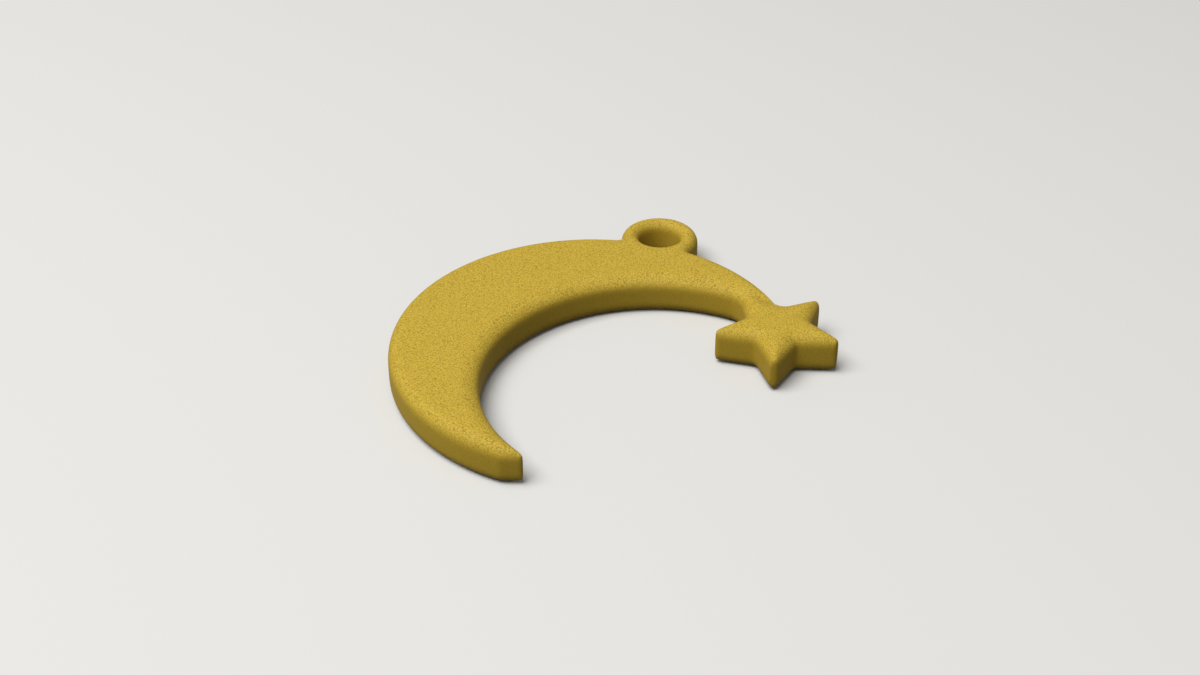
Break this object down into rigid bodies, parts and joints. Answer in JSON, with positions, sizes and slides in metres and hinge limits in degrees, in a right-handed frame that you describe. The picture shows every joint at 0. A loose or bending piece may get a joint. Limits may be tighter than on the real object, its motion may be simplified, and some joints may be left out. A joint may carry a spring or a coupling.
{
  "type": "eid crescent ornament",
  "caption": "Flat hollow crescent hanging ornament with rounded edges, a hanging eyelet on its outer edge and a five-pointed star keyed to its upper horn.",
  "frame": {"origin": "middle of the hanging hole, on its axis and on the parting plane between the front and back shells", "axes": "+Z out of the front face, +Y upwards as the ornament hangs, +X towards the crescent's opening"},
  "size_m": [0.0749, 0.0877, 0.0085],
  "materials": {
    "gold_sand_coat": "moulded plastic under a matte, finely pebbled mustard-gold coat",
    "bare_key_plastic": "bare moulded plastic, hidden inside"
  },
  "bodies": {
    "root": {"crescent_front_shell": "gold_sand_coat", "crescent_back_shell": "gold_sand_coat", "star_front_shell": "gold_sand_coat", "star_back_shell": "gold_sand_coat", "hanging_eyelet": "gold_sand_coat", "star_key": "bare_key_plastic"}
  },
  "joints": []
}
